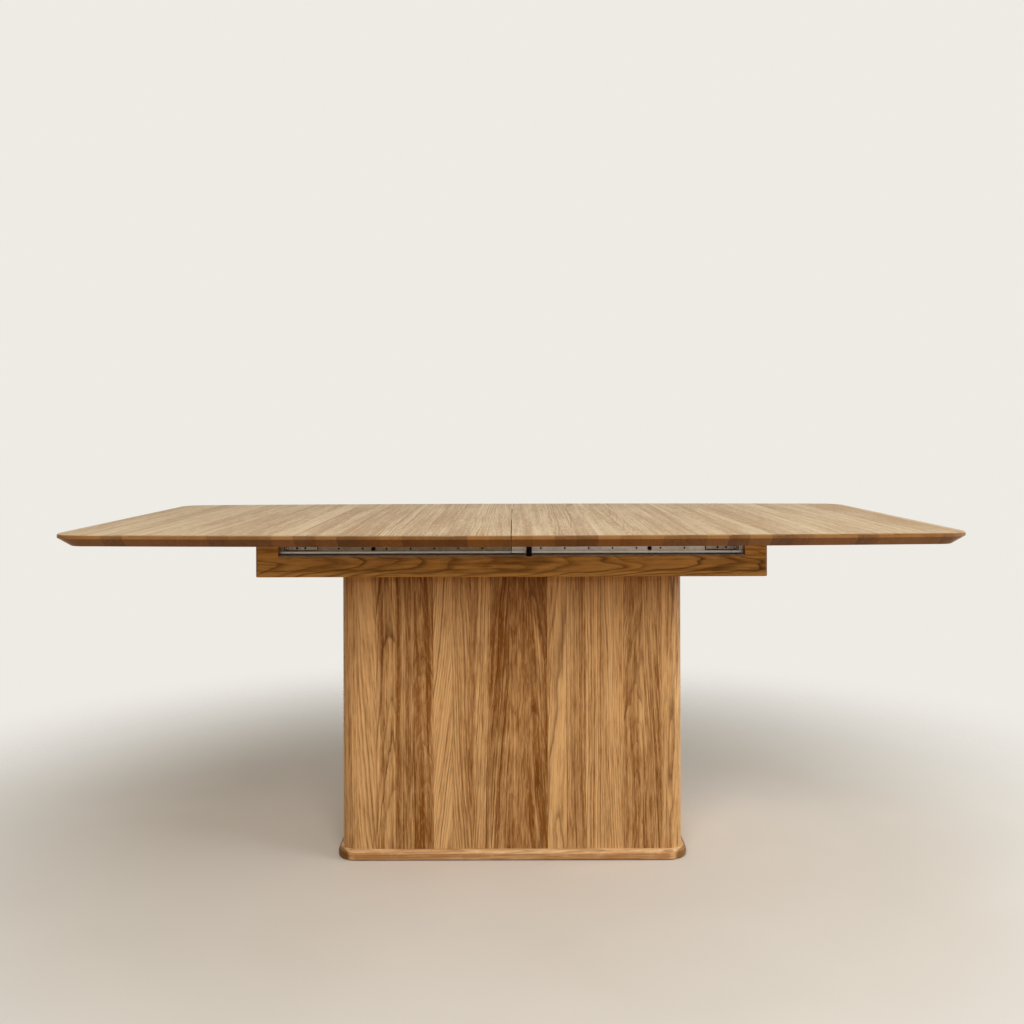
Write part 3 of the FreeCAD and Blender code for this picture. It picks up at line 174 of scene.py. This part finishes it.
def oak_figure():
    """Staves of oak: growth rings round a pith of their own, fibres, pores, rays, glue lines and end grain."""
    tree, given, give = new_group("oak figure", {
        "Along": 0.0, "Across": 0.0, "Depth": 0.0, "End": 0.0, "Edge": 0.0, "Face": 0.0, "Stave Width": STAVE,
        "Stave Start": 0.0, "Stave Length": 900.0, "Seed": 1.0, "Ring Width": 3.6 * MM, "Wander": 1.0,
        "Wander Pace": 2.6, "Lean": 1.0, "Flat Sawn": 0.45, "Contrast": 1.0, "Tone": 0.0, "Tone Spread": 1.0,
        "Pale": (0.5, 0.3, 0.1, 1.0), "Brown": (0.3, 0.15, 0.05, 1.0), "Line": (0.1, 0.05, 0.02, 1.0),
        "End Grain": (0.1, 0.05, 0.02, 1.0), "End Dark": (0.05, 0.02, 0.01, 1.0)},
        {"Color": tuple, "Roughness": float, "Height": float})
    along, depth, seed = given["Along"], given["Depth"], given["Seed"]
    cell = (given["Across"] - given["Stave Start"]) / given["Stave Width"]
    stave = cell.floor()
    across = (cell.part() - 0.5) * given["Stave Width"]
    shift = chances(point(stave, seed, 3.1))[0]
    length = (along / given["Stave Length"] + shift).floor()
    mark = stave + length * 17.3
    turn, reach, slope = chances(point(mark, seed, 0.37))
    tone, depth_of_line, spacing = chances(point(mark, seed, 7.91))
    sawn, tilt, swirl = chances(point(mark, seed, 13.7))

    # some staves are cut flat, with the pith behind the face, and most are cut to the side of it
    flat = sawn.ramp(given["Flat Sawn"] + 0.02, given["Flat Sawn"] - 0.02)
    side = turn.swing().math("SIGN") * (turn.swing().size() * 0.5 + 0.75)
    angle = side + (turn.swing() * 0.45 - side) * flat
    stand = reach * 60 * MM + 28 * MM
    wander = noise(point(along * given["Wander Pace"], mark * 3.7, seed), 1.5).swing()
    wander = wander * (swirl * swirl + 0.15) * given["Wander"]
    lean = noise(point(along * 1.7, mark * 5.3, seed + 9.0), 1.0).swing()
    ragged = noise(point(along * 8.0, across * 60.0, depth * 60.0 + mark), 3.0, 0.6).swing()
    drift = noise(point(along * 3.2, across * 16.0, mark * 4.1 + seed), 2.0).swing()
    sway = lean * (swirl * 14 + 4) * MM + along * tilt.swing() * (swirl * swirl * 0.12 + 0.015)
    sway = sway * given["Lean"]
    from_pith = across - angle.math("SINE") * stand - sway
    into_pith = depth - given["Face"] + angle.math("COSINE") * stand + wander * 6 * MM
    radius = (from_pith * from_pith + into_pith * into_pith).math("SQRT")
    radius = radius + along * slope.swing() * (flat * 0.06 + 0.02)
    radius = radius + ragged * 1.8 * MM + drift * (given["Wander"] + 1.0) * 4 * MM
    ring = radius / (given["Ring Width"] * (spacing * 0.8 + 0.6))
    ring = ring + noise(point(ring * 0.5, mark, seed), 1.0) * 1.8
    strength = chances(point(ring.floor(), mark, seed))[0] * 0.8 + 0.2
    early = bands(ring.part(), (0.0, 1.0), (0.10, 0.85), (0.34, 0.22), (0.7, 0.0), (0.93, 0.25), (1.0, 1.0))
    line = early * strength

    # fibres, open pores and pale ray flecks, all drawn out along the grain
    slant = across - sway
    broad = noise(point(along * 1.3, slant * 75.0, depth * 75.0 + mark * 2.3), 2.0).swing()
    streak = noise(point(along * 1.7, slant * 190.0, depth * 190.0 + mark), 4.0, 0.7).swing()
    dash = noise(point(along * 22.0, slant * 240.0, depth * 240.0 + mark * 1.7), 2.0, 0.6).swing()
    fibre = noise(point(along * 14.0, slant * 1100.0, depth * 1100.0), 2.0).swing()
    pore = noise(point(along * 26.0, slant * 700.0, depth * 700.0), 2.0).ramp(0.56, 0.70)
    pore = pore * (line * 0.6 + 0.4)
    cloud = noise(point(along * 3.0, across * 14.0, mark * 2.1), 2.0).swing()
    fleck = noise(point(along * 70.0, across * 420.0, depth * 90.0), 0.0).ramp(0.64, 0.72)
    glue = across.size().ramp(given["Stave Width"] * 0.5 - 0.5 * MM, given["Stave Width"] * 0.5)
    end = given["End"].ramp(0.25, 0.5)

    shade = (tone.swing() * given["Tone Spread"] * 0.6 + cloud * 0.7 + broad + streak * (depth_of_line + 0.5)
             + dash + fibre * 0.6 + given["Tone"] + 0.5)
    body = mixed(shade.ramp(-0.6, 1.6), given["Pale"], given["Brown"])
    drawn = line * (depth_of_line * 0.6 + 0.4) * given["Contrast"]
    body = mixed(drawn, body, given["Line"])
    body = mixed(fleck * 0.2 * line.flip(), body, given["Pale"])
    body = mixed(pore * 0.5, body, given["Line"])
    body = mixed(glue * 0.4, body, given["Line"])
    sawn_end = mixed((tone + cloud * 0.5 + streak * 0.2).ramp(0.15, 1.0), given["End Grain"], given["End Dark"])
    body = mixed(end * 0.9, body, mixed(drawn * 0.3, sawn_end, given["End Dark"]))
    # painted highlight: where the arris input is set, the colour is mixed towards Pale
    body = mixed(given["Edge"] * (cloud * 0.3 + 0.5), body, given["Pale"])
    rough = line * 0.10 + pore * 0.18 + cloud * 0.05 + streak * 0.04 + 0.44
    height = (line * -0.5) - pore * 0.9 + fibre * 0.15 - glue * 0.6
    give(Color=body, Roughness=rough, Height=height)
    return tree


def new_material(name):
    """An empty material with its shader, and the object's own coordinates and facing as fields."""
    material = bpy.data.materials.new(name)
    material.use_nodes = True
    tree = material.node_tree
    shader = tree.nodes["Principled BSDF"]
    source = tree.nodes.new("ShaderNodeTexCoord")
    parts = {}
    for label, output in (("", "Object"), ("facing ", "Normal")):
        split = tree.nodes.new("ShaderNodeSeparateXYZ")
        feed(split.inputs[0], source.outputs[output])
        for axis in "XYZ":
            parts[label + axis] = Field(split.outputs[axis])
    return material, shader, parts


def bumped(shader, height, strength, distance):
    """Lift the surface by a field."""
    bump = shader.id_data.nodes.new("ShaderNodeBump")
    bump.inputs["Strength"].default_value = strength
    bump.inputs["Distance"].default_value = distance
    feed(bump.inputs["Height"], height)
    feed(shader.inputs["Normal"], bump.outputs[0])


FIGURE = oak_figure()
END_OAK = {"End Grain": tint(142, 94, 36), "End Dark": tint(97, 58, 14)}
# rail oak: the same oak, painted darker and more saturated to stand for the warm shade under the top
RAIL_OAK = {"Pale": tint(222, 175, 102), "Brown": tint(112, 70, 8), "Line": tint(80, 42, 2), **END_OAK}
WARM_OAK = {"Pale": tint(228, 183, 126), "Brown": tint(126, 75, 18), "Line": tint(84, 40, 2), **END_OAK}
# top oak: its own oak colour, painted paler as well to stand for the grazing sheen on the top
TOP_OAK = {"Pale": tint(242, 216, 174), "Brown": tint(190, 151, 104), "Line": tint(146, 104, 58), **END_OAK}
# plinth oak: its own oak colour, painted paler as well to stand for light thrown up from the floor
PLINTH_OAK = {"Pale": tint(248, 214, 166), "Brown": tint(194, 144, 92), "Line": tint(134, 86, 40), **END_OAK}
PLAIN_WOOD = {"Pale": tint(216, 186, 146), "Brown": tint(194, 158, 114), "Line": tint(158, 116, 74),
              "End Grain": tint(186, 148, 104), "End Dark": tint(160, 122, 80)}


def oak(name, grain, across, depth, colours, wear_and_highlight=0.0, sheen=0.15, **values):
    """A wood finish: grain along one axis, staves side by side along another, upward arrises made paler by a
    painted highlight.
    """
    material, shader, parts = new_material(name)
    tree = material.node_tree
    figure = tree.nodes.new("ShaderNodeGroup")
    figure.node_tree = FIGURE
    feed(figure.inputs["Along"], parts[grain])
    feed(figure.inputs["Across"], parts[across])
    feed(figure.inputs["Depth"], parts[depth])
    feed(figure.inputs["End"], parts["facing " + grain].size())
    # painted highlight: surfaces that turn upward at the arris are mixed towards the pale colour
    if wear_and_highlight:
        up = parts["facing Z"]
        feed(figure.inputs["Edge"], up.ramp(0.3, 0.65) * up.ramp(0.9, 0.99).flip() * wear_and_highlight)
    for label, value in {**colours, **values}.items():
        figure.inputs[label.replace("_", " ")].default_value = value
    feed(shader.inputs["Base Color"], figure.outputs["Color"])
    feed(shader.inputs["Roughness"], figure.outputs["Roughness"])
    shader.inputs["IOR"].default_value = 1.45
    shader.inputs["Specular IOR Level"].default_value = sheen
    bumped(shader, figure.outputs["Height"], 0.35, 0.35 * MM)
    return material


# the first colour is painted shade, the second a painted highlight
PAINTED_SHADE = tint(34, 30, 25)
PAINTED_HIGHLIGHT = tint(242, 238, 230)


def steel(name, colour, wear_and_highlight, spangle, roughness, metallic=1.0, highlight_height=None, recess=None):
    """Rolled sheet or turned steel with a crystal bloom and drawn lines along X.

    Below the highlight height a painted highlight makes it bright, and above it the faces that turn away from
    front and back get painted shade, as does all that lies nearer to the middle of the table than the recess.
    """
    material, shader, parts = new_material(name)
    tree = material.node_tree
    cells = tree.nodes.new("ShaderNodeTexVoronoi")
    feed(cells.inputs["Vector"], point(parts["X"], parts["Y"], parts["Z"]))
    cells.inputs["Scale"].default_value = spangle
    split = tree.nodes.new("ShaderNodeSeparateColor")
    feed(split.inputs[0], cells.outputs["Color"])
    bloom = Field(split.outputs[0])
    drawn = noise(point(parts["X"] * 6.0, parts["Y"] * 900.0, parts["Z"] * 900.0), 2.0)
    haze = noise(point(parts["X"] * 22.0, parts["Y"] * 22.0, parts["Z"] * 22.0), 3.0)
    sheet = mixed((bloom * 0.5 + haze * 0.5).ramp(0.1, 0.9), colour, wear_and_highlight)
    # painted highlight below the given height, and painted shade above it on faces turned away from front and
    # back
    if highlight_height is not None:
        painted_shade_mask = parts["facing Y"].size().ramp(0.6, 0.95, 1.0, 0.0) * parts["Z"].ramp(highlight_height, highlight_height + 0.3 * MM)
        sheet = mixed(painted_shade_mask, mixed(parts["Z"].ramp(highlight_height, highlight_height + 0.3 * MM), PAINTED_HIGHLIGHT, sheet), PAINTED_SHADE)
    # painted shade on all that lies nearer to the middle of the table than the recess
    if recess is not None:
        sheet = mixed(parts["Y"].size().ramp(recess, recess + 0.4 * MM, 1.0, 0.0), sheet, PAINTED_SHADE)
    feed(shader.inputs["Base Color"], sheet)
    dull = drawn * 0.14 + haze * 0.10 + bloom * 0.06 + roughness
    if highlight_height is not None:
        dull = dull * parts["Z"].ramp(highlight_height, highlight_height + 0.3 * MM, 0.7, 1.0)
    feed(shader.inputs["Roughness"], dull)
    shader.inputs["Metallic"].default_value = metallic
    bumped(shader, drawn, 0.12, 0.1 * MM)
    return material


def plastic(name, colour, wear_and_highlight, gloss=0.5):
    """Moulded plastic with a fine spark texture."""
    material, shader, parts = new_material(name)
    grit = noise(point(parts["X"] * 2200.0, parts["Y"] * 2200.0, parts["Z"] * 2200.0), 2.0)
    haze = noise(point(parts["X"] * 90.0, parts["Y"] * 90.0, parts["Z"] * 90.0), 3.0)
    feed(shader.inputs["Base Color"], mixed(haze.ramp(0.35, 0.75), colour, wear_and_highlight))
    feed(shader.inputs["Roughness"], grit * 0.18 + haze * 0.12 + 0.36)
    shader.inputs["Specular IOR Level"].default_value = gloss
    bumped(shader, grit, 0.2, 0.08 * MM)
    return material


def dress(material, *names):
    """Give a finish to solids of the frame."""
    for name in names:
        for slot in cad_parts[name].material_slots:
            slot.material = material


TOP_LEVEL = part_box("top_left")[1].z
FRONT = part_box("panel_front")[0].y
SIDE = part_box("panel_left")[0].x
RAIL_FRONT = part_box("rail_front")[0].y
RAIL_MIDDLE = (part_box("rail_front")[0].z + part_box("rail_front")[1].z) / 2
FRAME_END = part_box("end_rail_left")[0].x
PLINTH_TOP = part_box("plinth")[1].z
POST_PITCH = -(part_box("post_front_left")[0].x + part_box("post_front_left")[1].x)
RAIL_PLANK = 0.4
RAIL_CUT = {"Flat_Sawn": 1.1, "Wander": 3.2, "Wander_Pace": 6.0, "Ring_Width": 4.6 * MM}
STAVE_START = -298.2 * MM
PEG_PROUD = 0.6 * MM
PLATE_FACE = -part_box("catch_plates_left")[0].y - PEG_PROUD
PLATE_RECESS = PLATE_FACE - 1.2 * MM
HEM_HEIGHT = 3.9 * MM
HEM_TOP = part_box("runner_front_left")[0].z + HEM_HEIGHT
PLINTH_PLANK = 93 * MM
PLAIN_PLANK = 70 * MM


def dress_wood():
    """Each board gets the lay of its own grain."""
    # top: the last argument paints a highlight on the upward arrises
    dress(oak("oiled oak, half tops", "Y", "X", "Z", TOP_OAK, Face=TOP_LEVEL, Seed=4.0,
              Contrast=0.7, Tone_Spread=0.75, Lean=0.2, Wander=0.3,
              Flat_Sawn=0.15, wear_and_highlight=0.3), "top_left", "top_right")
    for sign, side, seed in ((1, "front", 18.0), (-1, "back", 12.0)):
        dress(oak(f"oiled oak, {side} staves", "Z", "X", "Y", WARM_OAK, Face=sign * FRONT,
                  Stave_Start=STAVE_START, Seed=seed), f"panel_{side}")
        dress(oak(f"oiled oak, {side} posts", "Z", "X", "Y", WARM_OAK, Face=sign * FRONT,
                  Stave_Width=POST_PITCH, Seed=seed + 1.0, Tone=-0.3, Tone_Spread=0.5, sheen=0.2),
              f"post_{side}_left", f"post_{side}_right")
        dress(oak(f"oiled oak, {side} rail", "X", "Z", "Y", RAIL_OAK, Face=sign * RAIL_FRONT,
                  Stave_Width=RAIL_PLANK, Stave_Start=RAIL_MIDDLE - RAIL_PLANK / 2, Seed=seed - 10.0,
                  **RAIL_CUT), f"rail_{side}")
    for sign, half, seed in ((1, "left", 5.0), (-1, "right", 15.0)):
        dress(oak(f"oiled oak, {half} staves", "Z", "Y", "X", WARM_OAK, Face=sign * SIDE, Seed=seed),
              f"panel_{half}")
        dress(oak(f"oiled oak, {half} rail", "Y", "Z", "X", RAIL_OAK, Face=sign * FRAME_END,
                  Stave_Width=RAIL_PLANK, Stave_Start=RAIL_MIDDLE - RAIL_PLANK / 2, Seed=seed + 1.0,
                  **RAIL_CUT), f"end_rail_{half}")
    # plinth: the last argument paints a highlight on the upper rounding
    dress(oak("oiled oak, plinth", "X", "Y", "Z", PLINTH_OAK, Face=PLINTH_TOP,
              Stave_Width=PLINTH_PLANK, Seed=21.0, wear_and_highlight=0.2), "plinth")
    dress(oak("plain wood, lengthways", "X", "Y", "Z", PLAIN_WOOD, Contrast=0.5, Stave_Width=PLAIN_PLANK),
          "bearer_front", "bearer_back", "spacer_front", "spacer_back", "head_board",
          "floor_board", "seam_dowels")
    dress(oak("plain wood, crossways", "Y", "X", "Z", PLAIN_WOOD, Contrast=0.5, Stave_Width=PLAIN_PLANK),
          "cross_rail_left", "cross_rail_right")
    dress(oak("plain wood, upright", "Z", "X", "Y", PLAIN_WOOD, Contrast=0.5, Stave_Width=PLAIN_PLANK),
          "corner_blocks")


def dress_fittings():
    """Runners, screws, stops and glides."""
    # lit and shaded copies of one galvanised sheet: the first is rougher and painted darker, the second painted
    # lighter, standing for light that is stronger from the right
    dull = steel("galvanised sheet, painted_darker", tint(172, 160, 138), tint(152, 142, 122), 120.0, 0.5, 0.8, HEM_TOP)
    painted_lighter = steel("galvanised sheet, fresh", tint(228, 222, 212), tint(210, 204, 194), 120.0, 0.42, 0.8,
                  HEM_TOP)
    dress(steel("dull ledge strip", tint(150, 145, 136), tint(128, 122, 112), 90.0, 0.6, 0.4),
          "ledge_strip_front", "ledge_strip_back")
    bright = steel("zinc-plated screws", tint(208, 206, 196), tint(176, 172, 158), 400.0, 0.24)
    ends = [(side, half) for side in ("front", "back") for half in ("left", "right")]
    # catch plates: painted highlight below the hem, painted shade on turned-away faces and inside the recess
    dress(steel("pressed catch plates", tint(188, 182, 170), tint(166, 160, 148), 160.0, 0.46, 0.8, HEM_TOP,
                PLATE_RECESS), "catch_plates_left", "catch_plates_right")
    dress(dull, "runner_front_left", "runner_back_right")
    dress(painted_lighter, "runner_front_right", "runner_back_left")
    dress(steel("greased channel", tint(82, 78, 72), tint(60, 57, 52), 90.0, 0.4), "slide_channel_front",
          "slide_channel_back", *(f"ball_cage_{side}_{half}" for side, half in ends))
    dress(bright, "channel_screws", "travel_stops", "plinth_screws", "frame_bolts", "bolt_washers",
          *(f"{kind}_screws_{half}" for kind in ("runner", "stiffener") for half in ("left", "right")))
    dress(steel("ball steel", tint(214, 214, 214), tint(190, 190, 192), 500.0, 0.08),
          "slide_balls_left", "slide_balls_right")
    dress(steel("black stiffening steel", tint(38, 38, 40), tint(58, 56, 54), 90.0, 0.42),
          *(f"stiffener_{half}_{side}" for side, half in ends))
    dress(steel("insert brass", tint(206, 170, 96), tint(176, 138, 70), 400.0, 0.28), "threaded_inserts")
    dress(plastic("black moulded stop", tint(3, 3, 3), tint(8, 8, 8), 0.05), "centre_stop_front",
          "centre_stop_back")
    dress(plastic("grey glide", tint(70, 66, 62), tint(92, 88, 82)), "floor_glides")


FLOOR_REACH = 6.0
FLOOR_FADE = 0.75
FLOOR_GONE = 2.1


def in_view(tree):
    """True where the camera looks, straight or in a gloss or through glass."""
    path = tree.nodes.new("ShaderNodeLightPath")
    seen = Field(path.outputs["Is Camera Ray"])
    for way in ("Is Glossy Ray", "Is Transmission Ray"):
        seen = seen.math("MAXIMUM", Field(path.outputs[way]))
    return seen


def floor():
    """A pale floor that fades into the backdrop, and sends up the warm light of a wooden one."""
    mesh = bpy.data.meshes.new("floor")
    shape = bmesh.new()
    bmesh.ops.create_circle(shape, cap_ends=True, segments=96, radius=FLOOR_REACH)
    shape.to_mesh(mesh)
    shape.free()
    sheet = bpy.data.objects.new("floor", mesh)
    bpy.context.scene.collection.objects.link(sheet)
    material, shader, parts = new_material("pale floor")
    tree = material.node_tree
    looked_at = in_view(tree)
    cloud = noise(point(parts["X"] * 1.6, parts["Y"] * 1.6, 0.0), 3.0)
    pale = mixed(cloud.ramp(0.3, 0.7), tint(228, 223, 215), tint(223, 217, 208))
    feed(shader.inputs["Base Color"], mixed(looked_at, tint(156, 116, 64), pale))
    shader.inputs["Roughness"].default_value = 0.7
    away = (parts["X"] * parts["X"] + parts["Y"] * parts["Y"]).math("SQRT")
    clear = tree.nodes.new("ShaderNodeBsdfTransparent")
    fade = tree.nodes.new("ShaderNodeMixShader")
    feed(fade.inputs[0], away.ramp(FLOOR_FADE, FLOOR_GONE) * looked_at)
    feed(fade.inputs[1], shader.outputs[0])
    feed(fade.inputs[2], clear.outputs[0])
    feed(tree.nodes["Material Output"].inputs["Surface"], fade.outputs[0])
    mesh.materials.append(material)


def backdrop():
    """Soft light from all round, and a pale backdrop for the camera."""
    world = bpy.data.worlds.new("studio")
    world.use_nodes = True
    tree = world.node_tree
    soft = tree.nodes["Background"]
    soft.inputs["Color"].default_value = (1.0, 0.9, 0.74, 1.0)
    soft.inputs["Strength"].default_value = 0.27
    seen = tree.nodes.new("ShaderNodeBackground")
    seen.inputs["Color"].default_value = tint(238, 235, 229)
    looked_at = in_view(tree)
    choice = tree.nodes.new("ShaderNodeMixShader")
    feed(choice.inputs[0], looked_at)
    feed(choice.inputs[1], soft.outputs[0])
    feed(choice.inputs[2], seen.outputs[0])
    feed(tree.nodes["World Output"].inputs["Surface"], choice.outputs[0])
    bpy.context.scene.world = world


def lamp(name, place, aim, width, height, power, colour):
    """A soft box turned to a point."""
    light = bpy.data.lights.new(name, "AREA")
    light.shape = "RECTANGLE"
    light.size = width
    light.size_y = height
    light.energy = power
    light.color = colour
    box = bpy.data.objects.new(name, light)
    box.visible_camera = False
    way = Vector(aim) - Vector(place)
    box.matrix_world = Matrix.Translation(place) @ way.to_track_quat("-Z", "Y").to_matrix().to_4x4()
    bpy.context.scene.collection.objects.link(box)


def studio():
    """Daylight from the right, and a soft front lamp."""
    backdrop()
    floor()
    lamp("daylight", (3.6, -0.8, 1.5), (0.0, -0.1, 0.5), 3.2, 2.0, 104.0, (0.92, 0.97, 1.0))
    lamp("front", (-0.2, -3.6, 2.8), (0.0, 0.0, 0.4), 2.6, 2.2, 107.0, (1.0, 0.96, 0.9))


EYE = (0.007, -2.643, 0.932)
EYE_ROLL = math.radians(0.155)


def camera():
    """The eye stands level in front of the table, a little above it."""
    view = bpy.data.cameras.new("view")
    view.sensor_width = 36.0
    view.lens = 39.47
    view.shift_x = -0.0024
    view.shift_y = -0.0752
    eye = bpy.data.objects.new("view", view)
    eye.location = EYE
    eye.rotation_euler = (math.pi / 2, EYE_ROLL, 0.0)
    bpy.context.scene.collection.objects.link(eye)
    bpy.context.scene.camera = eye


dress_wood()
dress_fittings()
studio()
camera()
bpy.context.scene.view_settings.view_transform = "Standard"
